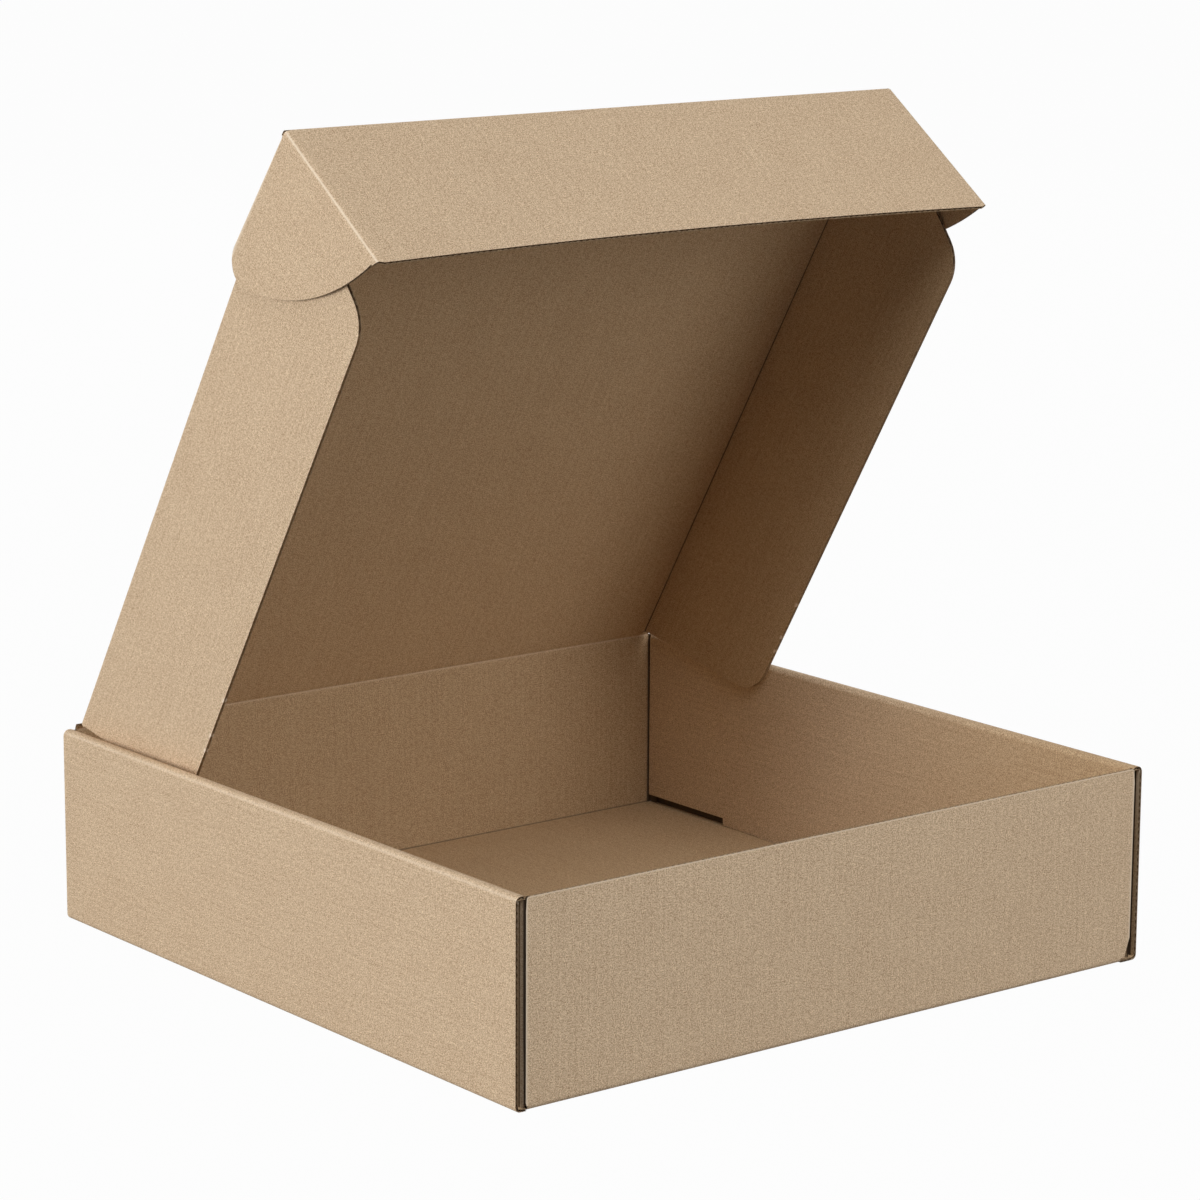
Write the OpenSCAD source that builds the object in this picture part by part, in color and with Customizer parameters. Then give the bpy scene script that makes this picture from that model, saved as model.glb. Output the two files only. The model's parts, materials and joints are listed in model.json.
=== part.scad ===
// Shipping box for bottles: one die-cut sheet of corrugated kraft board, folded into a
// roll-end tray with an attached lid. The lid stands open over the tray.
// Origin at the middle of the underside, front wall towards -Y, lid hinge at the back.

/* [Board] */
// Thickness of the corrugated board
board_t = 1.5; // [1.2:0.1:2]
// Gap between two layers of board that lie side by side
layer_gap = 0.3; // [0.2:0.05:0.4]
// Extra reach of the hollow that a hinged panel is cut to, round its crease
crease_gap = 0.3; // [0.2:0.05:0.4]

/* [Tray] */
// Outer width of the tray, along the front wall
tray_w = 350; // [260:1:450]
// Outer depth of the tray, front wall to back wall
tray_d = 346; // [260:1:450]
// Height of the side walls at their outer top crease
side_h = 89.4; // [70:0.1:120]
// Distance of the lid's hinge crease below the outer crease of the side walls
hinge_drop = 0.1; // [0:0.1:1]
// Gap between the closed lid and the top of the front wall
front_gap = 0.1; // [0.1:0.1:1]
// Hollow between the two layers of a side wall
side_hollow = 3.2; // [2.7:0.1:5]
// Rise of the rolled top of a side wall over its outer crease
roll_crown = 0.5; // [0.2:0.1:1]
// Radius of the two creases of the rolled top, at the middle of the board
roll_r = 1.2; // [1:0.1:1.4]
// Turn of each of these creases before the flat of the crown
roll_turn = 70; // [60:5:80]
// Distance that the raw ends of the side walls stand back from the front and back faces
side_setback = 0.5; // [0.2:0.1:1]
// Radius of the outer bottom folds
bottom_fold_r = 2.2; // [1.8:0.1:3]
// Distance that the bottom fold of the front and back walls is cut back from the walls' ends
fold_notch = 4.5; // [3:0.5:8]
// Distance between the end of an inner panel and the front or back wall
panel_end_gap = 1.2; // [0.3:0.1:3]
// Depth of the crushed groove where a wall folds into its dust flap
pinch_depth = 1.05; // [0.8:0.05:1.1]
// Distance between the front and the back dust flap inside a side wall
dust_apart = 50; // [20:1:120]
// Gap above and below a dust flap
dust_gap = 1; // [0.5:0.1:2]

/* [Lock tabs] */
// Distance from a lock tab to the relief at the end of the inner panel's lower edge
relief_step = 27; // [5:1:40]
// Height of that relief over the floor
relief_h = 3.7; // [2:0.1:6]
// Length of a lock tab
tab_len = 44; // [20:1:60]
// Distance of a lock tab's middle from the middle of the box
tab_place = 62; // [40:1:75]
// Distance that a lock tab's end stays above the underside of the floor
tab_lift = 0.2; // [0.1:0.1:0.5]

/* [Lid] */
// Angle that the lid is raised from closed, as it stands
lid_angle = 58.7; // [0:0.1:120]

/* [Tuck flap] */
// Gap between the front wall and the tuck flap's crease, with the lid closed
tuck_gap = 3.9; // [3.9:0.1:8]
// Height of the closed tuck flap's lower corners over the floor
tuck_floor_gap = 5.8; // [5:0.1:20]
// Inner angle between the lid and the tuck flap, as it stands
tuck_angle = 85.5; // [75:0.5:85.5]
// Rise of the tuck flap's lower edge at its middle
tuck_bow = 3; // [1:0.5:8]
// Size of the slanted cut at the tuck flap's upper corners
tuck_cut = 5.5; // [3:0.5:8]

/* [Ears] */
// Reach of an ear back from the tuck flap
ear_reach = 76; // [40:1:90]
// Height of an ear's foot over the tuck flap's lower corner
ear_foot = 2.5; // [1:0.5:20]
// Distance of the ear's upper edge below the lid's outer face, at the crease
ear_top_near = 3.2; // [2:0.1:6]
// Distance of the ear's upper edge below the lid's outer face, at the tip
ear_top_far = 0.4; // [0.2:0.1:3]
// Radius of the ear's tip
ear_tip_r = 11; // [6:1:16]
// Radius of the ear's long lower curve
ear_curve_r = 130; // [100:5:200]

/* [Side flaps] */
// Gap between the floor and a closed side flap
flap_floor_gap = 4.3; // [3:0.1:30]
// Distance of the flap's back end from the outer back face, at the crease
flap_back = 4.5; // [3:0.5:10]
// Slant of the flap's back end
flap_back_slant = 20.4; // [10:0.1:30]
// Distance from the tuck flap's outer face to the side flap's front end, at the crease
flap_front = 3.5; // [3:0.5:8]
// Slant of the flap's front end
flap_front_slant = 22; // [15:0.5:30]
// Radius of the side flap's back corner
flap_back_r = 21; // [8:1:25]
// Radius of the side flap's front corner
flap_front_r = 17; // [8:1:25]

/* [Hidden] */
kraft = [0.74, 0.61, 0.46];
kraft_lid = [0.70, 0.57, 0.42];
kraft_flap = [0.78, 0.65, 0.49];
kraft_ear = [0.80, 0.68, 0.52];
// Steps in the arc of a fold, of a rounded corner and of a long curve, and round a crease
fold_steps = 3;
arc_steps = 6;
curve_steps = 12;
round_steps = 48;
// Reach of a cutting shape past the face it cuts
over = 1;
half_w = tray_w / 2;
half_d = tray_d / 2;
half_t = board_t / 2;
// Heights of the hinge crease, at the inner face of the closed lid, and of the front wall
hinge_h = side_h - hinge_drop;
front_h = hinge_h - front_gap;
// Inner face of the inner side panel, then the inner faces of the ear and the side flap beside it
panel_x = half_w - 2 * board_t - side_hollow;
ear_x = panel_x - layer_gap - board_t;
flap_x = ear_x - layer_gap - board_t;
// Half length of the front and back walls, and the end of the inner panel behind them
wall_half_x = panel_x + board_t - layer_gap;
inner_d = half_d - board_t - panel_end_gap;
panel_z = board_t + layer_gap;
dust_len = half_d - dust_apart / 2;
relief_len = inner_d - tab_place - tab_len / 2 - relief_step;
// Depths of the hanging flaps, from the outer face of the lid
flap_depth = hinge_h - flap_floor_gap;
tuck_h = hinge_h - tuck_floor_gap;
ear_depth = tuck_h - ear_foot;
// Lid from the outer back face to the tuck flap's outer face
lid_len = tray_d - board_t - tuck_gap;
// Radius that a hinged panel is cut back to round its crease
crease_r = board_t + crease_gap;
// Distances along the lid from the hinge crease
axis_along = lid_len - 2 * board_t;
flap_back_along = flap_back - board_t;
flap_front_along = lid_len - board_t - flap_front;

// Points on an arc round c with radius r, from angle a0 to a1
function arc(c, r, a0, a1, n = arc_steps) =
    [for (i = [0:n]) c + r * [cos(a0 + (a1 - a0) * i / n), sin(a0 + (a1 - a0) * i / n)]];

// Unit vector from p to q, and the vector to its left
function unit(p, q) = (q - p) / norm(q - p);
function left_of(v) = [-v.y, v.x];

// Offset of point i of a line by d to its left, with mitred corners
function miter(pts, i, d) =
    let (
        last = len(pts) - 1,
        before = i == 0 ? unit(pts[0], pts[1]) : unit(pts[i - 1], pts[i]),
        after = i == last ? before : unit(pts[i], pts[i + 1]),
        m = left_of(before) + left_of(after)
    )
    pts[i] + d * 2 * m / (m * m);

// Outline of a board of thickness t whose middle follows the line pts
function ribbon(pts, t) = concat(
    [for (i = [0:len(pts) - 1]) miter(pts, i, t / 2)],
    [for (i = [len(pts) - 1:-1:0]) miter(pts, i, -t / 2)]
);

// Points of the arc of radius r that rounds a corner at q, between lines to p and s
function corner(p, q, s, r) =
    let (
        a = unit(q, p),
        b = unit(q, s),
        half = acos(a * b) / 2,
        c = q + unit([0, 0], a + b) * r / sin(half),
        first = q + a * r / tan(half),
        end = q + b * r / tan(half),
        a0 = atan2(first.y - c.y, first.x - c.x),
        turn = atan2(end.y - c.y, end.x - c.x) - a0,
        sweep = turn > 180 ? turn - 360 : turn < -180 ? turn + 360 : turn
    )
    arc(c, r, a0, a0 + sweep);

// Centre that lies ra from a and rb from b, to the left of the line from a to b
function tangent_centre(a, ra, b, rb) =
    let (
        d = norm(b - a),
        along = (ra * ra - rb * rb + d * d) / (2 * d),
        u = unit(a, b)
    )
    a + along * u + sqrt(ra * ra - along * along) * left_of(u);

// Stands a profile drawn in X and Z up, and runs it along Y from y0 to y1
module run_y(y0, y1) {
    translate([0, y1, 0])
        rotate([90, 0, 0])
            linear_extrude(height = y1 - y0)
                children();
}

// Runs a profile drawn in Y and Z along X from x0 to x1
module run_x(x0, x1) {
    translate([x0, 0, 0])
        rotate([90, 0, 90])
            linear_extrude(height = x1 - x0)
                children();
}

// Copies its children to both sides of the box
module both_sides() {
    children();
    mirror([1, 0, 0]) children();
}

// Copies its children to the front and back of the box
module both_ends() {
    children();
    mirror([0, 1, 0]) children();
}

// Section of a side wall: floor fold, outer layer, rolled top and inner panel
module side_profile() {
    fold_r = bottom_fold_r - half_t;
    outer_x = half_w - half_t;
    inner_x = panel_x + half_t;
    shoulder_z = side_h - half_t - roll_r;
    line = concat(
        [[outer_x - 2 * fold_r, half_t]],
        arc([outer_x - fold_r, half_t + fold_r], fold_r, -90, 0),
        arc([outer_x - roll_r, shoulder_z], roll_r, 0, roll_turn, fold_steps),
        [[(outer_x + inner_x) / 2, side_h + roll_crown - half_t]],
        arc([inner_x + roll_r, shoulder_z], roll_r, 180 - roll_turn, 180, fold_steps),
        [[inner_x, panel_z]]
    );
    polygon(ribbon(line, board_t));
}

// A folded side wall, with the inner panel cut back at both ends
module side_wall() {
    end_y = half_d - side_setback;
    difference() {
        run_y(-end_y, end_y) side_profile();
        both_ends()
            translate([panel_x - over, inner_d, board_t])
                cube([wall_half_x + layer_gap + over - panel_x, half_d, side_h + over]);
        both_ends()
            translate([panel_x - over, inner_d - relief_len, board_t])
                cube([board_t + layer_gap + over, relief_len + over, relief_h]);
    }
}

// Lock tab on the inner panel's lower edge
module lock_tab() {
    translate([panel_x, tab_place - tab_len / 2, tab_lift])
        cube([board_t, tab_len, board_t + relief_h]);
}

// Slot in the floor round a lock tab
module tab_slot() {
    translate([panel_x - layer_gap, tab_place - tab_len / 2 - layer_gap, -over])
        cube([board_t + 2 * layer_gap, tab_len + 2 * layer_gap, over + board_t + layer_gap / 2]);
}

// Section of the front or back wall, with the fold from the floor
module end_profile(top_z) {
    fold_r = bottom_fold_r - half_t;
    outer_y = half_d - half_t;
    line = concat(
        [[outer_y - 2 * fold_r, half_t]],
        arc([outer_y - fold_r, half_t + fold_r], fold_r, -90, 0),
        [[outer_y, top_z]]
    );
    polygon(ribbon(line, board_t));
}

// Corner of the floor that reaches under the end of the front or back wall
module floor_tongue() {
    start_x = wall_half_x - fold_notch + layer_gap;
    start_y = half_d - bottom_fold_r - over;
    translate([start_x, start_y, 0])
        cube([half_w - bottom_fold_r - start_x, half_d - side_setback - start_y, board_t]);
}

// Room round that corner, cut from the bottom fold of the wall
module tongue_room() {
    translate([wall_half_x - fold_notch, half_d - bottom_fold_r, -over])
        cube([fold_notch + over, bottom_fold_r + over, over + board_t + layer_gap]);
}

// The back wall, up to top_z, with its fold cut back at both ends
module end_wall(top_z) {
    difference() {
        run_x(-wall_half_x, wall_half_x) end_profile(top_z);
        both_sides() tongue_room();
    }
}

// Plan of the crushed fold and the dust flap at the end of a wall
module dust_plan() {
    outer = half_w - board_t - layer_gap;
    inner = outer - board_t;
    front = half_d - pinch_depth;
    back = half_d - dust_len;
    polygon(concat(
        [[inner, back], [outer, back]],
        corner([outer, back], [outer, front], [inner, front], half_t),
        [[wall_half_x - board_t, front], [wall_half_x - board_t, half_d - board_t], [inner, half_d - board_t]]
    ));
}

// The two dust flaps of the back wall, hidden in the side walls
module dust_flaps() {
    both_sides()
        translate([0, 0, board_t + dust_gap])
            linear_extrude(height = side_h - 2 * board_t - 2 * dust_gap)
                dust_plan();
}

// Rounded outside of the lid crease, on top of the back wall
module hinge_roll() {
    reach = flap_x - layer_gap;
    axis = [half_d - board_t, hinge_h];
    run_x(-reach, reach)
        polygon(concat([axis], arc(axis, board_t, 0, 180 - lid_angle)));
}

module tray() {
    color(kraft) {
        difference() {
            union() {
                translate([-half_w + bottom_fold_r, -half_d + bottom_fold_r, 0])
                    cube([tray_w - 2 * bottom_fold_r, tray_d - 2 * bottom_fold_r, board_t]);
                both_sides() side_wall();
            }
            both_sides() both_ends() tab_slot();
        }
        both_sides() both_ends() lock_tab();
        both_sides() both_ends() floor_tongue();
        end_wall(hinge_h);
        mirror([0, 1, 0]) end_wall(front_h);
        both_ends() dust_flaps();
        hinge_roll();
    }
}

// Puts its children in the lid's frame: the hinge crease along X at the inner face,
// the closed lid reaching towards -Y with its outer face up
module on_lid() {
    translate([0, half_d - board_t, hinge_h])
        rotate([-lid_angle, 0, 0])
            children();
}

// Puts its children in the tuck flap's frame: the crease along X at the inner face,
// the flap reaching down with its outer face towards -Y
module on_tuck() {
    on_lid()
        translate([0, -axis_along, 0])
            rotate([90 - tuck_angle, 0, 0])
                children();
}

// Quarter round that fills the outside of a crease
module roll_section() {
    polygon(concat([[0, 0]], arc([0, 0], board_t, 0, 90)));
}

// Room round a crease that the hinged panel is cut back to
module crease_room(length) {
    translate([0, 0, -over])
        cylinder(r = crease_r, h = length + 2 * over, $fn = round_steps);
}

module lid() {
    color(kraft_lid)
        on_lid() {
            translate([-flap_x, -axis_along, 0])
                cube([2 * flap_x, axis_along - crease_r, board_t]);
            both_sides()
                translate([flap_x, 0, 0])
                    run_y(-flap_front_along, -flap_back_along) roll_section();
            translate([0, -axis_along, 0])
                mirror([0, 1, 0])
                    run_x(-flap_x, flap_x) roll_section();
        }
}

// Outline of a side flap: distance along the lid, and height from its inner face
module flap_outline() {
    low = board_t - flap_depth;
    heel = [flap_back_along, 0];
    toe = [flap_front_along, 0];
    heel_low = [flap_back_along - low * tan(flap_back_slant), low];
    toe_low = [flap_front_along + low * tan(flap_front_slant), low];
    polygon(concat(
        [heel],
        corner(heel, heel_low, toe_low, flap_back_r),
        corner(heel_low, toe_low, toe, flap_front_r),
        [toe]
    ));
}

// The side flap on the right, square to the lid
module side_flap() {
    on_lid()
        difference() {
            translate([flap_x, 0, 0])
                rotate([90, 0, -90])
                    mirror([0, 0, 1])
                        linear_extrude(height = board_t)
                            flap_outline();
            translate([flap_x, 0, 0])
                rotate([90, 0, 0])
                    crease_room(lid_len);
        }
}

module right_side_flap() {
    color(kraft_flap) side_flap();
}

module left_side_flap() {
    color(kraft_flap) mirror([1, 0, 0]) side_flap();
}

// Outline of the tuck flap, with its bowed lower edge
module tuck_outline() {
    low = board_t - tuck_h;
    bow_r = ear_x * ear_x / (2 * tuck_bow) + tuck_bow / 2;
    half_turn = asin(ear_x / bow_r);
    polygon(concat(
        [[flap_x, 0], [ear_x, board_t - tuck_cut], [ear_x, low]],
        arc([0, low + tuck_bow - bow_r], bow_r, 90 - half_turn, 90 + half_turn, curve_steps),
        [[-ear_x, low], [-ear_x, board_t - tuck_cut], [-flap_x, 0]]
    ));
}

module tuck_flap() {
    color(kraft)
        on_tuck() {
            difference() {
                rotate([90, 0, 0])
                    linear_extrude(height = board_t)
                        tuck_outline();
                translate([-half_w, 0, 0])
                    rotate([0, 90, 0])
                        crease_room(tray_w);
            }
            both_sides()
                translate([ear_x, 0, board_t - ear_depth])
                    linear_extrude(height = ear_depth - tuck_cut)
                        mirror([0, 1, 0]) roll_section();
        }
}

// Outline of an ear: distance behind the tuck flap's inner face, and height
module ear_outline() {
    foot = [0, board_t - ear_depth];
    tip = [ear_reach - board_t - ear_tip_r, board_t - ear_top_far - ear_tip_r];
    curve = tangent_centre(foot, ear_curve_r, tip, ear_curve_r - ear_tip_r);
    foot_turn = atan2(foot.y - curve.y, foot.x - curve.x);
    tip_turn = atan2(tip.y - curve.y, tip.x - curve.x);
    polygon(concat(
        arc(curve, ear_curve_r, foot_turn, tip_turn, curve_steps),
        arc(tip, ear_tip_r, tip_turn, 90),
        [[board_t, board_t - ear_top_near], [0, board_t - tuck_cut]]
    ));
}

// The ear on the right, folded back square to the tuck flap
module ear() {
    on_tuck()
        difference() {
            translate([ear_x, 0, 0])
                rotate([90, 0, 90])
                    linear_extrude(height = board_t)
                        ear_outline();
            translate([ear_x, 0, board_t - ear_depth])
                crease_room(ear_depth);
        }
}

module right_ear() {
    color(kraft_ear) ear();
}

module left_ear() {
    color(kraft_ear) mirror([1, 0, 0]) ear();
}

tray();
lid();
left_side_flap();
right_side_flap();
tuck_flap();
left_ear();
right_ear();
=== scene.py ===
"""Looks of a roll-end mailer folded from one sheet of fluted kraft board.

Every panel is a real board: an outer and an inner liner with a waved medium between them. A panel
is drawn flat, as an outline in u and v, and w is the height from the board's middle. Each piece
has a place function that folds u, v and w into space, and may have a wear function for its paper.
"""
import json
import math

import bmesh
import bpy
import numpy as np
from mathutils import Matrix, Vector

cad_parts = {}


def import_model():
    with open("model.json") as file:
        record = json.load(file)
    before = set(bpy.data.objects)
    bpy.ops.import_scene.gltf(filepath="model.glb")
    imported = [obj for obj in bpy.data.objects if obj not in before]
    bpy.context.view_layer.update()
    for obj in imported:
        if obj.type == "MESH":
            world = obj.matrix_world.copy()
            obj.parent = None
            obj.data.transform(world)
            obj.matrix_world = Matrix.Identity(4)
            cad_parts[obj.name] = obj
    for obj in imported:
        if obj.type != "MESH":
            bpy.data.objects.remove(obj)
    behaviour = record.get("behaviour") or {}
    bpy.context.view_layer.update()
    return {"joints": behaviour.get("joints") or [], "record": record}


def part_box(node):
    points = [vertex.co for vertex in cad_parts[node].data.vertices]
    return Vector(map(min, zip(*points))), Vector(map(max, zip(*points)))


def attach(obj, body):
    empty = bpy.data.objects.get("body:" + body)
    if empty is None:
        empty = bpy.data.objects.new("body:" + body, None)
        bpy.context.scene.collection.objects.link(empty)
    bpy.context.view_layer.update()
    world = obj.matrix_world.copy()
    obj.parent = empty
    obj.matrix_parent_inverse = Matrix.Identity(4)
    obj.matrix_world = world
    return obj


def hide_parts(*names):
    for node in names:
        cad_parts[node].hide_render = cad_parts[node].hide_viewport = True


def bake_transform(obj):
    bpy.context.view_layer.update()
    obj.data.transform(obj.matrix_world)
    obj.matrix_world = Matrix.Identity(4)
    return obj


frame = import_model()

# Board, in metres: thickness of the whole, of a liner and of the medium, and distance between two boards
BOARD = 0.0015
LINER = 0.00024
MEDIUM = 0.00018
GAP = 0.0003
HALF = BOARD / 2

# Waves of the medium. It stops an inset short of the cuts, and breaks where the outline jumps.
FLUTE = 0.0032
FLUTE_STEPS = 8
FLUTE_INSET = 0.00015
STRIP_JUMP = 0.001

# Material slots of each piece, and the strength of a liner's mark, pale or dark, from which a cut
# edge takes its liner's material, so that a cut in painted shade or in a painted highlight is painted too
LINER_SLOT = 0
MEDIUM_SLOT = 1
CUT_SLOT = 2
CUT_MARK = 0.5

# Distance between the cuts that let a panel bend or carry wear
WIDE_STEP = 0.03
STEP = 0.02
EAR_STEP = 0.015
FLAP_STEP = 0.012
NEAR_CUT = 0.0001

# Cuts beside a crushed fold, in widths of its dent, and the least distance from them to the board's ends
FOLD_CUTS = (-2.4, -1.6, -0.9, 0.9, 1.6, 2.4)
CUT_MARGIN = 0.0002

# Tray. Corners are named by their signs in X and Y, so (1, -1) is the front right one.
SIDE_H = 0.0894
HOLLOW = 0.0032
FOLD_R = 0.0022
FRONT_GAP = 0.0001
PANEL_END_GAP = 0.0012
TAB_LEN = 0.044
TAB_PLACE = 0.062
TAB_LIFT = 0.0002
RELIEF_H = 0.0037
RELIEF_STEP = 0.027

# Rolled top of a side wall
ROLL_CROWN = 0.0005
ROLL_R = 0.0006
ROLL_TURN = 74
ROLL_CRUSH = 0.55
ROLL_LINE = 0.00035
ROLL_PALE = 0.45

# A pressed fold: half width of the dent, and the share of the board's thickness that is left
FOLD_DENT = 0.0012
FOLD_CRUSH = 0.86

# Tongue of the floor: how far it reaches in under the end of the front or back wall. Below nought it
# stops short of the wall's end.
TONGUE = {(-1, -1): 0.0006, (1, -1): 0.0045, (-1, 1): -0.0006, (1, 1): -0.0006}
TONGUE_CRUSH = 0.45
# Painted shade on the tongue's far part, in the corner under the wall's end
TONGUE_PAINTED_SHADE = 0.8

# Open ends of the side walls. In a front one the outer layer's inside has a painted highlight at the top
# of the mouth, fading downwards, and painted shade behind it, from a little below the wall's foot upwards.
SETBACK = 0.0005
MOUTH = 0.0018
MOUTH_BELOW = 0.001
MOUTH_PAINTED_SHADE = 0.9
MOUTH_PAINTED_LIGHT = 0.8
MOUTH_PAINTED_LIGHT_H = 0.03

# The cuts of a side wall's two layers end this much short of the wall's height
LAYER_CUT_SHORT = 0.006

# Front and back wall. The ends of the foot are drawn in by the slant, and are straight again above
# the slant times the run.
FOOT_SLANT = {(-1, -1): 0.0004, (1, -1): 0.0030, (-1, 1): 0.0004, (1, 1): 0.0004}
FOOT_RUN = 3
TOP_CORNER_R = 0.0012
TOP_CORNER_RUN = 0.006
TOP_DRAW = 0.0004
CORNER_RISE = 0.0009
# Painted shade on an end wall's inside: a band along each end with its width and strength, a line along the
# bottom fold with its strength and half width, and the width of the band's soft edge
CORNER_PAINTED_SHADE_W = 0.0009
CORNER_PAINTED_SHADE = 0.9
FOLD_PAINTED_SHADE = 0.75
FOLD_PAINTED_SHADE_W = 0.0006
PAINTED_SHADE_SOFT = 0.0002

# Dust flaps: a crushed neck leads from the end wall into a groove and round a bulge. The recess is
# how far the bulge lies behind the wall's face.
RECESS = {(-1, -1): 0.0034, (1, -1): 0.0075, (-1, 1): 0.0034, (1, 1): 0.0034}
GROOVE = 0.0018
NECK_START = (0.0001, 0.0002)
NECK_OUT = 0.0007
GROOVE_OUT = 0.0009
BULGE_OUT = 0.0006
BULGE_R = 0.0008
NECK_DENT = 0.0008
NECK_CRUSH = 0.35
GROOVE_CRUSH = 0.4
DUST_APART = 0.050
DUST_GAP = 0.001
DUST_RISE = 0.0014
DUST_RISE_RUN = (0.005, 0.009)
# Painted shade in a dust flap's recess: its first stretch, up to the dust cut, is painted near black
DUST_CUT = 0.0003
DUST_FLAT_START = 0.01
# Painted shade of the neck and of the flap past the groove, the run over which that fades out, and the dark
# foot with its strength, height, soft edge and start at the front and the back
NECK_PAINTED_SHADE = 0.55
DUST_PAINTED_SHADE = 0.5
DUST_PAINTED_SHADE_RUN = 0.012
DUST_FOOT_PAINTED_SHADE = 0.9
DUST_FOOT = 0.0075
DUST_FOOT_SOFT = 0.0005
DUST_FOOT_START = {-1: 0.012, 1: 0.0}

# Width of the pale line along a cut edge: a painted highlight on an end wall's top and ends, where the
# liner would be rounded over, and torn paper at a side flap's nicks
EDGE_WEAR_AND_HIGHLIGHT = 0.0007

# Lid and flaps
LID_SAG = 0.0007
CREASE = 0.0022
CREASE_LINE = 0.00028
CREASE_CRUSH = 0.6
CREASE_STEPS = 8
BEND_FROM = 0.4
# Shade of the lid crease's inner side: below nought it paints a pale line in place of painted shade
LID_CREASE_SHADE = -0.4
TUCK_FLOOR_GAP = 0.0058
TUCK_BOW = 0.003
EAR_REACH = 0.076
EAR_FOOT = 0.0025
EAR_TOP_NEAR = 0.0018
EAR_TOP_FAR = 0.0004
EAR_TIP_R = 0.011
EAR_CURVE_R = 0.130
EAR_H = 0.08
EAR_PALE_LINE = 0.0005
SIDE_FLOOR_GAP = 0.0043
SIDE_LEAN = 0.0012
SIDE_BACK = 0.0045
SIDE_BACK_SLANT = 20.4
SIDE_FRONT = 0.0035
SIDE_FRONT_SLANT = 22
SIDE_BACK_R = 0.021
SIDE_FRONT_R = 0.017

# Nicks that held the side flaps in the sheet until it was stripped: distance from the hinge, half width,
# and in half widths how far the torn paper reaches and where the cuts lie
NICKS = (0.063, 0.072, 0.093)
NICK_HALF = 0.0009
NICK_TORN = 1.1
NICK_CUTS = (-1.5, -1, 1, 1.5)

# Camera as fitted to the photo: pixels of an image that is 1200 wide, angles in degrees, and shifts
# and distance in metres
IMAGE = 1200
SENSOR_MM = 36
FOCAL_PX = 4190
AZIMUTH = -38.177
ELEVATION = 12.108
ROLL = 0.309
SHIFT_X = -0.002674
SHIFT_Y = -0.154685
DISTANCE = 1.915478

# What the frame gives, and what follows from it
joints = {j["name"]: j for j in frame["joints"]}
hinge = Vector(joints["lid_hinge"]["pos_m"])
tuck_axis = Vector(joints["tuck_flap_hinge"]["pos_m"])
lid_along = Vector(joints["left_side_flap_hinge"]["axis"]).normalized()
tuck_up = Vector(joints["left_ear_hinge"]["axis"]).normalized()
FLAP_X = joints["right_side_flap_hinge"]["pos_m"][0]
EAR_X = joints["right_ear_hinge"]["pos_m"][0]
_, tray_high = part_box("tray")
HALF_W = tray_high.x
HALF_D = tray_high.y
ACROSS = Vector((1, 0, 0))
UP = Vector((0, 0, 1))
lid_out = lid_along.cross(ACROSS)
tuck_out = ACROSS.cross(tuck_up)
LID_LENGTH = (tuck_axis - hinge).length
HINGE_H = hinge.z
FRONT_H = HINGE_H - FRONT_GAP
PANEL_X = HALF_W - 2 * BOARD - HOLLOW
WALL_X = PANEL_X + BOARD - GAP
INNER_D = HALF_D - BOARD - PANEL_END_GAP
PANEL_Z = BOARD + GAP
CREASE_X = PANEL_X - GAP / 2


def arc(centre, radius, start, end, steps):
    """Points on an arc, angles in degrees."""
    turn = [math.radians(start + (end - start) * i / steps) for i in range(steps + 1)]
    return [(centre[0] + radius * math.cos(a), centre[1] + radius * math.sin(a)) for a in turn]


def rounded(before, corner, after, radius, steps=8):
    """Points of the arc that rounds a corner between two straight lines."""
    p, q, s = (np.array(x, float) for x in (before, corner, after))
    a = (p - q) / np.linalg.norm(p - q)
    b = (s - q) / np.linalg.norm(s - q)
    half = math.acos(float(a @ b)) / 2
    centre = q + (a + b) / np.linalg.norm(a + b) * radius / math.sin(half)
    first = q + a * radius / math.tan(half) - centre
    last = q + b * radius / math.tan(half) - centre
    start = math.degrees(math.atan2(first[1], first[0]))
    sweep = math.degrees(math.atan2(last[1], last[0])) - start
    sweep -= 360 * round(sweep / 360)
    return arc(centre, radius, start, start + sweep, steps)


def curve(first, control, last, steps):
    """Points on a quadratic curve."""
    a, c, b = (np.array(x, float) for x in (first, control, last))
    return [tuple((1 - t) ** 2 * a + 2 * t * (1 - t) * c + t * t * b) for t in np.linspace(0, 1, steps + 1)]


class Path:
    """The middle line of a folded board, drawn in a plane."""

    def __init__(self, points, crushed=()):
        self.points = np.array(points, float)
        step = np.diff(self.points, axis=0)
        length = np.linalg.norm(step, axis=1)
        self.s = np.concatenate([[0], np.cumsum(length)])
        normal = np.stack([-step[:, 1], step[:, 0]], 1) / length[:, None]
        before = np.vstack([normal[:1], normal])
        after = np.vstack([normal, normal[-1:]])
        both = before + after
        self.normals = 2 * both / (both * both).sum(1)[:, None]
        self.crushed = [(self.nearest(p), width, share) for p, width, share in crushed]

    def nearest(self, point):
        """Distance along the path of the point that lies nearest."""
        return float(self.s[np.argmin(np.linalg.norm(self.points - np.array(point), axis=1))])

    def cuts(self, shift=0.0):
        """Where a board on this path needs cuts: at its corners and on both sides of a crushed fold."""
        beside = [c + k * width for c, width, _ in self.crushed for k in FOLD_CUTS]
        inside = [c for c in beside if self.s[0] + CUT_MARGIN < c < self.s[-1] - CUT_MARGIN]
        return [float(c) - shift for c in [*self.s[1:-1], *inside]]

    def at(self, u, w):
        """The point at distance u along the path and w to its left."""
        for centre, width, share in self.crushed:
            w *= 1 - (1 - share) * math.exp(-(((u - centre) / width) ** 2))
        x = np.interp(u, self.s, self.points[:, 0]) + w * np.interp(u, self.s, self.normals[:, 0])
        y = np.interp(u, self.s, self.points[:, 1]) + w * np.interp(u, self.s, self.normals[:, 1])
        return x, y


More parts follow.
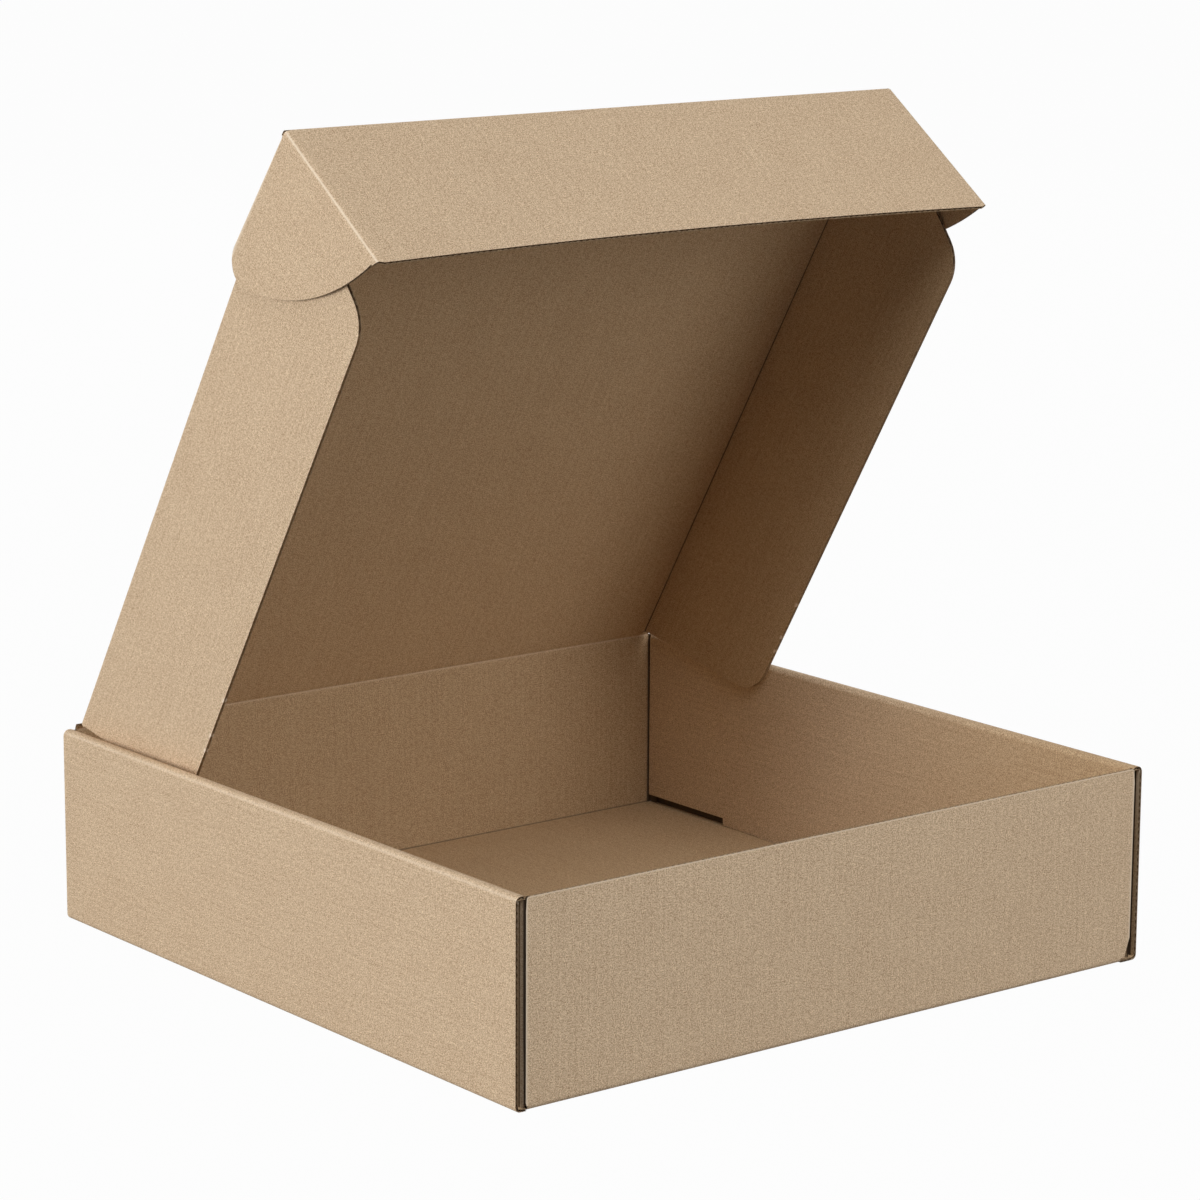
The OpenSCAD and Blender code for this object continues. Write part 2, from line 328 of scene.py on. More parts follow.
def cells(outline, cuts_u, cuts_v, holes=()):
    """A flat face with that outline, cut into cells along both directions."""
    bm = bmesh.new()
    bm.faces.new([bm.verts.new((u, v, 0)) for u, v in outline])
    for axis, cuts in ((Vector((1, 0, 0)), cuts_u), (Vector((0, 1, 0)), cuts_v)):
        for c in cuts:
            every = bm.verts[:] + bm.edges[:] + bm.faces[:]
            bmesh.ops.bisect_plane(bm, geom=every, dist=1e-7, plane_co=axis * c, plane_no=axis)
    for u0, u1, v0, v1 in holes:
        inside = []
        for f in bm.faces:
            c = f.calc_center_median()
            if u0 < c.x < u1 and v0 < c.y < v1:
                inside.append(f)
        bmesh.ops.delete(bm, geom=inside, context="FACES")
    return bm


def spans(outline, value, across):
    """Where the line at that value of the across coordinate lies inside the outline."""
    hits = []
    for p, q in zip(outline, outline[1:] + outline[:1]):
        a, b = p[across], q[across]
        if (a <= value) != (b <= value):
            share = (value - a) / (b - a)
            hits.append(p[1 - across] + share * (q[1 - across] - p[1 - across]))
    hits.sort()
    return list(zip(hits[::2], hits[1::2]))


def goes_on(strips, found):
    """Whether strips can be carried on to the stretches found on the next line, without a jump of an end."""
    if len(strips) != len(found):
        return False
    for strip, ends in zip(strips, found):
        for before, now in zip(strip[-1][1:3], ends):
            if abs(before - now) > STRIP_JUMP:
                return False
    return True


class Sheet:
    """Collects the faces of one piece, with flat coordinates for its material.

    The wear function gives each liner vertex a value: above nought the paper is
    paler, along creases, cuts and torn nicks and in painted highlights, and below nought it is
    darkened with painted shade. The warmth function gives the share of the inner liner's browner
    tint, and in the side walls also a painted warm bounce light. The outer liner is the one whose
    height has the sign of outer.
    """

    def __init__(self, wear=None, outer=1, warmth=None):
        self.wear = wear or (lambda u, v, w: 0.0)
        self.warmth = warmth or (lambda u, v, side: 1.0 if side < 0 else 0.0)
        self.outer = outer
        self.across = 0
        self.verts = []
        self.faces = []
        self.flat = []
        self.wear_and_light_marks = []
        self.slots = []

    def add(self, points, flat, wear_and_light_marks, faces, slots):
        """Takes in vertices and faces, with each face's material slot."""
        base = len(self.verts)
        self.verts += points
        for f, slot in zip(faces, slots):
            self.faces.append([base + i for i in f])
            self.flat += [flat[i] for i in f]
            self.wear_and_light_marks += [wear_and_light_marks[i] for i in f]
            self.slots.append(slot)

    def liner(self, bm, place, low, high):
        """A closed skin between two heights of the board."""
        bm.verts.index_update()
        n = len(bm.verts)
        flat = [(v.co.x, v.co.y) for v in bm.verts]
        points = [place(u, v, low) for u, v in flat] + [place(u, v, high) for u, v in flat]
        side = low + high
        wear_and_light_marks = [(self.wear(u, v, side), self.warmth(u, v, side * self.outer)) for u, v in flat] * 2
        faces = []
        for f in bm.faces:
            ring = [v.index for v in f.verts]
            faces.append([n + i for i in ring])
            faces.append(ring[::-1])
        for e in bm.edges:
            if len(e.link_faces) == 1:
                loop = e.link_loops[0]
                a, b = loop.vert.index, loop.link_loop_next.vert.index
                faces.append([a, b, n + b, n + a])
        skin = 2 * len(bm.faces)
        slots = [LINER_SLOT] * skin
        for f in faces[skin:]:
            slots.append(LINER_SLOT if min(abs(wear_and_light_marks[i][0]) for i in f) > CUT_MARK else CUT_SLOT)
        self.add(points, flat * 2, wear_and_light_marks, faces, slots)

    def medium(self, outline, place, across, cuts):
        """The waved layer. It waves along one coordinate, across, and its flutes run along the other."""
        inset = FLUTE_INSET
        low = min(p[across] for p in outline) + inset
        high = max(p[across] for p in outline) - inset
        count = max(2, round((high - low) / FLUTE * FLUTE_STEPS))
        swing = (BOARD - 2 * LINER - MEDIUM) / 2
        strips, previous = [], []
        for i in range(count + 1):
            a = low + (high - low) * i / count
            wave = swing * math.cos(2 * math.pi * a / FLUTE)
            found = [(b0 + inset, b1 - inset) for b0, b1 in spans(outline, a, across)]
            if not goes_on(previous, found):
                strips += [[] for _ in found]
                previous = strips[len(strips) - len(found):]
            for strip, (b0, b1) in zip(previous, found):
                strip.append((a, b0, b1, wave))
        for strip in strips:
            if len(strip) > 1:
                self.wave(strip, place, across, cuts)

    def wave(self, strip, place, across, cuts):
        """One unbroken stretch of the waved layer."""
        inner = [c for c in cuts if all(b0 < c < b1 for _, b0, b1, _ in strip)]
        rows = len(inner) + 2
        points, flat = [], []
        for a, b0, b1, wave in strip:
            for w in (wave - MEDIUM / 2, wave + MEDIUM / 2):
                for b in [b0, *inner, b1]:
                    u, v = (a, b) if across == 0 else (b, a)
                    points.append(place(u, v, w))
                    flat.append((u, v))
        faces = []
        turn = 1 if across == 0 else -1
        for i in range(len(strip) - 1):
            at, to = i * 2 * rows, (i + 1) * 2 * rows
            for k in range(rows - 1):
                faces.append([at + k, at + k + 1, to + k + 1, to + k][::turn])
                faces.append([at + rows + k, to + rows + k, to + rows + k + 1, at + rows + k + 1][::turn])
            last = rows - 1
            faces.append([at, to, to + rows, at + rows][::turn])
            faces.append([at + last, at + rows + last, to + rows + last, to + last][::turn])
        for at, way in ((0, turn), ((len(strip) - 1) * 2 * rows, -turn)):
            for k in range(rows - 1):
                faces.append([at + k, at + rows + k, at + rows + k + 1, at + k + 1][::way])
        self.add(points, flat, [(0.0, 0.0)] * len(points), faces, [MEDIUM_SLOT] * len(faces))

    def board(self, outline, place, across, cuts_u, cuts_v, holes=()):
        """Both liners and the medium of one panel. Heights are from the middle of the board."""
        self.across = across
        bm = cells(outline, cuts_u, cuts_v, holes)
        self.liner(bm, place, -HALF, LINER - HALF)
        self.liner(bm, place, HALF - LINER, HALF)
        bm.free()
        self.medium(outline, place, across, cuts_v if across == 0 else cuts_u)

    def finish(self, name, slot, body, replaces=(), smooth=35):
        """Makes the object, which rides on its body, or stays where it is made when given more than one."""
        mesh = bpy.data.meshes.new(name)
        mesh.from_pydata([tuple(p) for p in self.verts], [], self.faces)
        flat = np.array(self.flat, np.float32)
        if self.across:
            flat = flat[:, ::-1]
        mesh.uv_layers.new(name="flat").data.foreach_set("uv", flat.ravel())
        mesh.uv_layers.new(name="wear").data.foreach_set("uv", np.array(self.wear_and_light_marks, np.float32).ravel())
        mesh.polygons.foreach_set("material_index", np.array(self.slots, np.int32))
        mesh.materials.append(materials[slot])
        mesh.materials.append(materials["medium"])
        mesh.materials.append(materials["cut"])
        mesh.polygons.foreach_set("use_smooth", [True] * len(mesh.polygons))
        mesh.set_sharp_from_angle(angle=math.radians(smooth))
        mesh.update()
        piece = bpy.data.objects.new(name, mesh)
        bpy.context.scene.collection.objects.link(piece)
        if isinstance(body, str):
            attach(piece, body)
        else:
            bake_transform(piece)
        if replaces:
            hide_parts(*replaces)
        return piece


def grid(low, high, step):
    """Even cuts between two values, the ends left out."""
    count = max(1, round((high - low) / step))
    return [low + (high - low) * i / count for i in range(1, count)]


# Materials


class Nodes:
    """Short names for building a node tree."""

    def __init__(self, tree):
        self.tree = tree

    def new(self, kind, inputs=(), **settings):
        node = self.tree.nodes.new(kind)
        for key, value in settings.items():
            setattr(node, key, value)
        for key, value in dict(inputs).items():
            if isinstance(value, bpy.types.NodeSocket):
                self.tree.links.new(value, node.inputs[key])
            else:
                node.inputs[key].default_value = value
        return node

    def math(self, operation, a, b=0.0, c=0.0):
        return self.new("ShaderNodeMath", {0: a, 1: b, 2: c}, operation=operation).outputs[0]

    def scaled(self, vector, scale, turn=0.0, shift=(0, 0, 0)):
        node = self.new("ShaderNodeMapping", {"Vector": vector, "Scale": scale, "Location": shift})
        node.inputs["Rotation"].default_value = (0, 0, math.radians(turn))
        return node.outputs[0]

    def noise(self, vector, scale=1.0, detail=2.0, rough=0.5):
        inputs = {"Vector": vector, "Scale": scale, "Detail": detail, "Roughness": rough}
        return self.new("ShaderNodeTexNoise", inputs, noise_dimensions="2D").outputs["Fac"]

    def ramp(self, value, low, high, out_low=0.0, out_high=1.0):
        inputs = {"Value": value, "From Min": low, "From Max": high, "To Min": out_low, "To Max": out_high}
        return self.new("ShaderNodeMapRange", inputs, clamp=True).outputs[0]

    def scattered(self, vector, channel, chosen, size):
        """Dots at random places: a ramp of a random value picks them, and another gives their rim."""
        cell = self.new("ShaderNodeTexVoronoi", {"Vector": vector, "Scale": 1.0}, voronoi_dimensions="2D")
        chance = self.new("ShaderNodeSeparateColor", {"Color": cell.outputs["Color"]}).outputs[channel]
        picked = self.ramp(chance, *chosen)
        return self.math("MULTIPLY", self.ramp(cell.outputs["Distance"], *size, 1.0, 0.0), picked)

    def seen(self):
        """One for rays from the camera, also those that come by a mirror or through glass."""
        ray = self.new("ShaderNodeLightPath")
        seen = self.math("MAXIMUM", ray.outputs["Is Camera Ray"], ray.outputs["Is Glossy Ray"])
        return self.math("MAXIMUM", seen, ray.outputs["Is Transmission Ray"])

    def mix(self, share, a, b, blend="MIX"):
        node = self.new("ShaderNodeMix", data_type="RGBA", blend_type=blend)
        for socket, value in (("Factor_Float", share), ("A_Color", a), ("B_Color", b)):
            target = next(s for s in node.inputs if s.identifier == socket)
            if isinstance(value, bpy.types.NodeSocket):
                self.tree.links.new(value, target)
            else:
                target.default_value = value if socket == "Factor_Float" else (*value, 1)
        return next(s for s in node.outputs if s.identifier == "Result_Color")


# Colours of the paper. The grain's two multiply the first, the tint multiplies the inner liner. The pale
# colour is for pale fibres, wear and painted highlights, and the shade colour is for painted shade.
KRAFT = (0.66, 0.49, 0.325)
GRAIN_DARK = (0.56, 0.44, 0.36)
GRAIN_PALE = (1.44, 1.56, 1.64)
INNER_TINT = (0.80, 0.75, 0.66)
KRAFT_PALE_AND_HIGHLIGHT = (0.86, 0.71, 0.54)
PAINTED_SHADE_COLOR = (0.05, 0.032, 0.02)
SPECK = (0.20, 0.13, 0.075)
MEDIUM_COLOR = (0.17, 0.105, 0.055)
CUT_COLOR = (0.30, 0.20, 0.115)

# Painted warm bounce light on the side walls' inner panels and the right rolled top, as a share of the
# inner tint: its share at the middle, and its rise per metre towards the front
PANEL_PAINTED_WARMTH = 0.15
PANEL_PAINTED_WARMTH_RISE = 6.4


def kraft(name, seed):
    """Kraft liner: clouds, grain, fibres, streaks, specks and a faint print of the flutes.

    The first flat coordinate runs across the flutes. Scales are in waves per millimetre.
    """
    material = bpy.data.materials.new(name)
    material.use_nodes = True
    tree = material.node_tree
    shader = tree.nodes["Principled BSDF"]
    n = Nodes(tree)
    flat = n.new("ShaderNodeUVMap", uv_map="flat").outputs[0]
    mm = n.scaled(flat, (1000, 1000, 1000), shift=(seed * 37.0, seed * 53.0, 0))
    clouds = n.noise(mm, 0.05, 3.0, 0.6)
    blotches = n.noise(mm, 0.40, 3.0, 0.7)
    grain = n.noise(mm, 1.7, 2.0, 0.8)
    fibres = n.noise(n.scaled(mm, (0.35, 1.9, 1), 12), 1.0, 2.0, 0.6)
    cross_fibres = n.noise(n.scaled(mm, (2.1, 0.4, 1), -20), 1.0, 2.0, 0.6)
    layers = ((clouds, 0.10), (blotches, 0.38), (grain, 2.1), (fibres, 0.40), (cross_fibres, 0.34))
    tone = 0.5
    for layer, weight in layers:
        tone = n.math("ADD", n.math("MULTIPLY_ADD", layer, weight, -weight / 2), tone)
    across = n.new("ShaderNodeSeparateXYZ", {"Vector": flat}).outputs[0]
    ribs = n.math("SINE", n.math("MULTIPLY", across, 2 * math.pi / FLUTE))
    uneven = n.ramp(n.noise(n.scaled(mm, (0.5, 0.03, 1)), 1.0, 2.0), 0.35, 0.7)
    tone = n.math("MULTIPLY_ADD", n.math("MULTIPLY", ribs, uneven), 0.04, tone)
    streaks = n.noise(n.scaled(mm, (0.9, 0.02, 1)), 1.0, 2.0, 0.6)
    tone = n.math("ADD", n.math("MULTIPLY_ADD", streaks, 0.14, -0.07), tone)
    dark_paper = tuple(c * k for c, k in zip(KRAFT, GRAIN_DARK))
    pale_paper = tuple(c * k for c, k in zip(KRAFT, GRAIN_PALE))
    paper = n.mix(tone, dark_paper, pale_paper)
    dark_speck = n.scattered(n.scaled(mm, (0.42, 0.75, 1), 25), 0, (0.72, 0.95), (0.05, 0.20))
    pale_fibre = n.scattered(n.scaled(mm, (0.16, 1.1, 1), -35), 1, (0.6, 0.95), (0.04, 0.16))
    color = n.mix(n.math("MULTIPLY", dark_speck, 0.45), paper, SPECK)
    color = n.mix(n.math("MULTIPLY", pale_fibre, 0.35), color, KRAFT_PALE_AND_HIGHLIGHT)
    # Marks from the map: the inner tint with painted warm light, pale paper for wear and painted highlights,
    # and painted shade
    marks = n.new("ShaderNodeSeparateXYZ", {"Vector": n.new("ShaderNodeUVMap", uv_map="wear").outputs[0]})
    wear_and_light_marks, inner = marks.outputs[0], marks.outputs[1]
    color = n.mix(inner, color, INNER_TINT, "MULTIPLY")
    color = n.mix(n.ramp(wear_and_light_marks, 0.0, 1.0), color, KRAFT_PALE_AND_HIGHLIGHT)
    color = n.mix(n.ramp(wear_and_light_marks, -1.0, 0.0, 1.0, 0.0), color, PAINTED_SHADE_COLOR)
    tree.links.new(color, shader.inputs["Base Color"])
    shader.inputs["Roughness"].default_value = 0.88
    shader.inputs["Specular IOR Level"].default_value = 0.25
    height = n.math("MULTIPLY_ADD", grain, 0.5, n.math("MULTIPLY", fibres, 0.5))
    height = n.math("MULTIPLY_ADD", ribs, 0.28, height)
    bump = n.new("ShaderNodeBump", {"Height": height, "Strength": 0.35, "Distance": 0.00006})
    tree.links.new(bump.outputs[0], shader.inputs["Normal"])
    return material


def raw_paper(name, color):
    """Paper seen at a cut or between the liners, darker and rougher than their faces."""
    material = bpy.data.materials.new(name)
    material.use_nodes = True
    tree = material.node_tree
    shader = tree.nodes["Principled BSDF"]
    n = Nodes(tree)
    mm = n.scaled(n.new("ShaderNodeUVMap", uv_map="flat").outputs[0], (1000, 1000, 1000))
    mottled = n.mix(n.ramp(n.noise(mm, 0.8, 3.0, 0.6), 0.3, 0.7), tuple(c * 0.7 for c in color), color)
    tree.links.new(mottled, shader.inputs["Base Color"])
    shader.inputs["Roughness"].default_value = 0.92
    shader.inputs["Specular IOR Level"].default_value = 0.2
    return material


materials = {"medium": raw_paper("medium", MEDIUM_COLOR), "cut": raw_paper("cut", CUT_COLOR)}
for place_in_list, entry in enumerate(frame["record"]["materials"]):
    name = entry["slot"]
    materials[name] = kraft(name, place_in_list)


# Tray: floor and both side walls are one folded strip, drawn in X and Z and run along Y


# Places in the list that side_half gives. The bottom fold takes up the places 1 to 7, the rolled
# top's outer bend 8 to 13, its crown 14 to 18 and its inner bend 19 to 24.
FOLD_MIDDLE = 4
WALL_LOW = 6
WALL_HIGH = 9
OUTER_BEND = 10
TINT_RIGHT = 11
PANEL_HIGH = 19
TINT_LEFT = 20
INNER_BEND = 21


def side_half():
    """Middle line from the middle of the floor to the lower end of the right lock tabs."""
    bend = FOLD_R - HALF
    outer_x, inner_x = HALF_W - HALF, PANEL_X + HALF
    shoulder = SIDE_H - HALF - ROLL_R
    up = arc((outer_x - ROLL_R, shoulder), ROLL_R, 0, ROLL_TURN, 5)
    down = arc((inner_x + ROLL_R, shoulder), ROLL_R, 180 - ROLL_TURN, 180, 5)
    apex = SIDE_H + ROLL_CROWN - HALF
    crown = curve(up[-1], ((outer_x + inner_x) / 2, 2 * apex - up[-1][1]), down[0], 6)
    return [
        (0, HALF),
        *arc((outer_x - bend, HALF + bend), bend, -90, 0, 6),
        *up,
        *crown[1:-1],
        *down,
        (inner_x, PANEL_Z),
        (inner_x, TAB_LIFT),
    ]


def side_walls():
    """Floor, side walls, rolled tops and inner panels, with the lock tabs and their slots."""
    right = side_half()
    left = [(-x, z) for x, z in right[:0:-1]]
    creases = [(right[FOLD_MIDDLE], FOLD_DENT, FOLD_CRUSH)]
    creases += [(right[i], ROLL_R, ROLL_CRUSH) for i in (OUTER_BEND, INNER_BEND)]
    creases += [((-p[0], p[1]), width, share) for p, width, share in creases]
    path = Path(left + right, creases)
    middle = path.nearest((0, HALF))
    side = path.s[len(left):] - middle
    floor_v = HALF_D - FOLD_R
    end_v = HALF_D - SETBACK
    past_wall = next(i for i in range(OUTER_BEND, len(right)) if right[i][0] < WALL_X + GAP)
    roll_u = float(side[past_wall])
    low_u = float(side[-2])
    tab_u = float(side[-1])
    relief_u = low_u - RELIEF_H
    tab_end = TAB_PLACE + TAB_LEN / 2
    tab_start = TAB_PLACE - TAB_LEN / 2
    relief_v = tab_end + RELIEF_STEP

    def corner(side_sign, way):
        """Outline round one corner, from the floor's tongue to the inner end of the lock tab."""
        tongue_u = WALL_X - TONGUE[side_sign, way]
        points = [
            (tongue_u, floor_v),
            (tongue_u, end_v),
            (roll_u, end_v),
            (roll_u, INNER_D),
            (relief_u, INNER_D),
            (relief_u, relief_v),
            (low_u, relief_v),
            (low_u, tab_end),
            (tab_u, tab_end),
            (tab_u, tab_start),
            (low_u, tab_start),
        ]
        return [(u * side_sign, v * way) for u, v in points]

    outline = corner(1, -1) + corner(1, 1)[::-1] + corner(-1, 1) + corner(-1, -1)[::-1]
    slot_x = PANEL_X - GAP
    slots = []
    for sx in (1, -1):
        for sy in (1, -1):
            us = sorted((sx * slot_x, sx * (slot_x + BOARD + 2 * GAP)))
            vs = sorted((sy * (tab_start - GAP), sy * (tab_end + GAP)))
            slots.append((*us, *vs))
    cuts_u = path.cuts(middle) + [-WALL_X, WALL_X]
    cuts_u += grid(-slot_x, slot_x, WIDE_STEP) + [x for hole in slots for x in hole[:2]]
    for start in (float(side[WALL_LOW]), float(side[PANEL_HIGH])):
        span = grid(start, start + SIDE_H - LAYER_CUT_SHORT, STEP)
        cuts_u += span + [-u for u in span]
    mouth_v = end_v - MOUTH
    cuts_v = grid(-end_v, end_v, WIDE_STEP) + [y for hole in slots for y in hole[2:]]
    cuts_v += [-floor_v, floor_v, -mouth_v, NEAR_CUT - mouth_v, -WALL_X]
    fold_u = HALF_W - FOLD_R

    def beyond(u, v):
        """How far a point lies out on the floor's tongue at a corner, from 0 to 1."""
        out = (-v - floor_v) / (end_v - floor_v)
        return max(0.0, min(1.0, out, (fold_u - abs(u)) / (fold_u - WALL_X)))

    def place(u, v, w):
        x, z = path.at(u + middle, w)
        return x, v, z * (1 - (1 - TONGUE_CRUSH) * beyond(u, v))

    # As in the photo, only the left rolled top has pale lines, and only the right one is tinted
    left_rolls = [-float(side[i]) for i in (OUTER_BEND, INNER_BEND)]
    warm_u = (-float(side[TINT_LEFT]), float(side[TINT_RIGHT]))
    wall_u = (float(side[WALL_LOW]) - MOUTH_BELOW, float(side[WALL_HIGH]))

    # Painted shade on the floor's tongue and behind a front mouth, a painted highlight in the mouth, and pale
    # lines along the left rolled top's folds
    def wear(u, v, w):
        if beyond(u, v) > 0.5:
            return -TONGUE_PAINTED_SHADE
        if w < 0:
            return ROLL_PALE * max(math.exp(-(((u - r) / ROLL_LINE) ** 2)) for r in left_rolls)
        if not wall_u[0] < abs(u) < wall_u[1] or v > -WALL_X:
            return 0.0
        if v > -mouth_v:
            return -MOUTH_PAINTED_SHADE
        return MOUTH_PAINTED_LIGHT * max(0.0, 1 - (wall_u[1] - abs(u)) / MOUTH_PAINTED_LIGHT_H)

    # The inner liner takes the full tint; on the inner panels and the right rolled top the other liner takes
    # painted warm bounce light that grows towards the front
    def warmth(u, v, liner):
        if liner < 0:
            return 1.0
        if warm_u[0] < u < warm_u[1]:
            return 0.0
        return min(1.0, max(0.0, PANEL_PAINTED_WARMTH - v * PANEL_PAINTED_WARMTH_RISE))

    sheet = Sheet(wear, -1, warmth)
    sheet.board(outline, place, 0, sorted(set(cuts_u)), sorted(set(cuts_v)), slots)
    return sheet.finish("tray_floor_and_sides", "tray_board", "tray", ["tray"])


side_walls()


# The middle and the end of the bottom fold, as places in an end wall's line
END_FOLD = 3
END_FOOT = 6


def end_wall(name, way, crease_drop):
    """Front or back wall with its bottom fold, drawn in Y and Z and run along X.

    A wall with a crease drop ends at the lid's crease, and its corners stand a little higher.
    """
    bend = FOLD_R - HALF
    start = HALF_D - FOLD_R
    line = [(start, HALF)]
    line += arc((start, HALF + bend), bend, -90, 0, END_FOOT)[1:]
    line += [(HALF_D - HALF, FRONT_H)]
    path = Path(line, [(line[END_FOLD], FOLD_DENT, FOLD_CRUSH)])
    length = float(path.s[-1])
    free_u = float(path.s[END_FOOT])
    fold_u = float(path.s[END_FOLD])

    def half(end):
        """Outline of the half towards one end, from the bottom fold up to the middle of the top."""
        corner = (-way * end, way)
        narrow = min(WALL_X, WALL_X - TONGUE[corner] - GAP)
        slant = FOOT_SLANT[corner]
        points = [
            (0, narrow),
            (free_u, narrow),
            (free_u, max(narrow, WALL_X - slant)),
            (free_u + FOOT_RUN * slant, WALL_X),
        ]
        if crease_drop:
            notch = CREASE_X + GAP
            raised = length + CORNER_RISE
            return points + [(raised, WALL_X), (raised, notch), (length - crease_drop, notch)]
        shoulder = (length - TOP_CORNER_RUN, WALL_X)
        top = (length, WALL_X - TOP_DRAW)
        return points + [shoulder] + rounded(shoulder, top, (length, 0), TOP_CORNER_R, 4)

    outline = [(u, -v) for u, v in half(-1)] + half(1)[::-1]
    top_u = length - EDGE_WEAR_AND_HIGHLIGHT
    end_v = WALL_X - TOP_DRAW - EDGE_WEAR_AND_HIGHLIGHT
    painted_shade_v = PANEL_X - CORNER_PAINTED_SHADE_W

    # Painted shade inside, along the ends and the bottom fold, and a painted highlight along the outer face's
    # top and ends
    def wear(u, v, w):
        if w < 0 and abs(v) > painted_shade_v:
            return -CORNER_PAINTED_SHADE
        if w < 0:
            return -FOLD_PAINTED_SHADE * math.exp(-(((u - fold_u) / FOLD_PAINTED_SHADE_W) ** 2))
        return min(1.0, max(0.0, (u - top_u) / EDGE_WEAR_AND_HIGHLIGHT, (abs(v) - end_v) / EDGE_WEAR_AND_HIGHLIGHT))

    def place(u, v, w):
        y, z = path.at(u, -w)
        return v * -way, y * way, z

    sheet = Sheet(wear)
    cuts_u = path.cuts() + grid(free_u, length, STEP) + [top_u]
    cuts_v = grid(-WALL_X, WALL_X, WIDE_STEP)
    for edge in (end_v, painted_shade_v, painted_shade_v - PAINTED_SHADE_SOFT):
        cuts_v += [-edge, edge]
    sheet.board(outline, place, 1, sorted(set(cuts_u)), sorted(cuts_v))
    return sheet.finish(name, "tray_board", "tray")


end_wall("tray_front_wall", -1, 0)
end_wall("tray_back_wall", 1, CREASE - FRONT_GAP)


def dust_flap(name, side, way):
    """Crushed corner fold and the flap behind it, drawn in X and Y and run up Z."""
    outer = HALF_W - BOARD - GAP
    middle_x = outer - HALF
    front = HALF_D - RECESS[side, way] - HALF
    start = (WALL_X + NECK_START[0], HALF_D - HALF - NECK_START[1])
    neck = (WALL_X + NECK_OUT, HALF_D - BOARD - NECK_START[1])
    groove = (WALL_X + GROOVE_OUT, front - GROOVE)
    bulge = rounded(groove, (middle_x, front + BULGE_OUT), (middle_x, 0), BULGE_R, 6)
    line = [start, neck, groove, *bulge, (middle_x, DUST_APART / 2)]
    dents = ((start, NECK_CRUSH), (neck, NECK_CRUSH), (groove, GROOVE_CRUSH))
    path = Path(line, [(point, NECK_DENT, share) for point, share in dents])
    length = float(path.s[-1])
    groove_u = path.nearest(groove)
    low, high = BOARD + GAP / 3, SIDE_H - BOARD - DUST_GAP
    fold_high = high + DUST_RISE
    rise_end, rise_start = DUST_RISE_RUN
    outline = [(0, low), (length, low), (length, high), (rise_start, high)]
    outline += [(rise_end, fold_high), (0, fold_high)]

    def place(u, v, w):
        x, y = path.at(u, w)
        return x * side, y * way, v

    # All of it is painted shade: the raw end near black, the neck dark, the flap's shade fading out past the
    # groove, and a dark foot
    def wear(u, v, w):
        if u < DUST_CUT:
            return -1.0
        if v < low + DUST_FOOT and u > DUST_FOOT_START[way]:
            return -DUST_FOOT_PAINTED_SHADE
        if u < groove_u:
            return -NECK_PAINTED_SHADE
        return -DUST_PAINTED_SHADE * max(0.0, 1 - (u - groove_u) / DUST_PAINTED_SHADE_RUN)

    if side * way < 0:
        outline = outline[::-1]
    sheet = Sheet(wear)
    cuts_u = path.cuts() + [DUST_CUT / 2, DUST_CUT] + grid(DUST_FLAT_START, length, WIDE_STEP)
    cuts_v = [low + DUST_FOOT - DUST_FOOT_SOFT, low + DUST_FOOT + DUST_FOOT_SOFT] + grid(low, high, WIDE_STEP)
    sheet.board(outline, place, 0, sorted(set(cuts_u)), sorted(cuts_v))
    return sheet.finish(name, "tray_board", "tray")


for side, side_name in ((-1, "left"), (1, "right")):
    for way, way_name in ((-1, "front"), (1, "back")):
        dust_flap(f"tray_{way_name}_{side_name}_dust_flap", side, way)


# Lid and flaps


def on_panel(origin, first, second, out, bow=None):
    """Places a flat panel: heights are from its middle, origin on its inner face."""

    def place(u, v, w):
        lift = bow(u, v) if bow else 0.0
        return origin + first * u + second * v + out * (w + HALF + lift)

    return place


def cushion(u0, u1, v0, v1, rise):
    """A shallow bow that is nought along the panel's borders."""

    def bow(u, v):
        a = min(max((u - u0) / (u1 - u0), 0), 1)
        b = min(max((v - v0) / (v1 - v0), 0), 1)
        return rise * math.sin(math.pi * a) * math.sin(math.pi * b)

    return bow


def lid():
    edge = FLAP_X - CREASE
    near, far = CREASE, LID_LENGTH - CREASE
    outline = [(-edge, near), (edge, near), (edge, far), (-edge, far)]
    place = on_panel(hinge, ACROSS, lid_along, lid_out, cushion(-edge, edge, near, far, -LID_SAG))
    sheet = Sheet()
    sheet.board(outline[::-1], place, 0, grid(-edge, edge, STEP), grid(near, far, STEP))
    return sheet.finish("lid_panel", "lid_board", "lid", ["lid"])


lid()


SIDE_DEPTH = HINGE_H - SIDE_FLOOR_GAP - BOARD


def side_outline():
    """Side flap: distance along the lid, and height from the lid's inner face."""
    depth = SIDE_DEPTH
    back = SIDE_BACK - BOARD
    front = LID_LENGTH + BOARD - SIDE_FRONT
    heel, toe = (back, 0.0), (front, 0.0)
    heel_low = (back + depth * math.tan(math.radians(SIDE_BACK_SLANT)), -depth)
    toe_low = (front - depth * math.tan(math.radians(SIDE_FRONT_SLANT)), -depth)

    def cut_back(low, top):
        share = -CREASE / low[1]
        return top[0] + (low[0] - top[0]) * share, -CREASE

    return (
        [cut_back(heel_low, heel)]
        + rounded(heel, heel_low, toe_low, SIDE_BACK_R)
        + rounded(heel_low, toe_low, toe, SIDE_FRONT_R)
        + [cut_back(toe_low, toe)]
    )


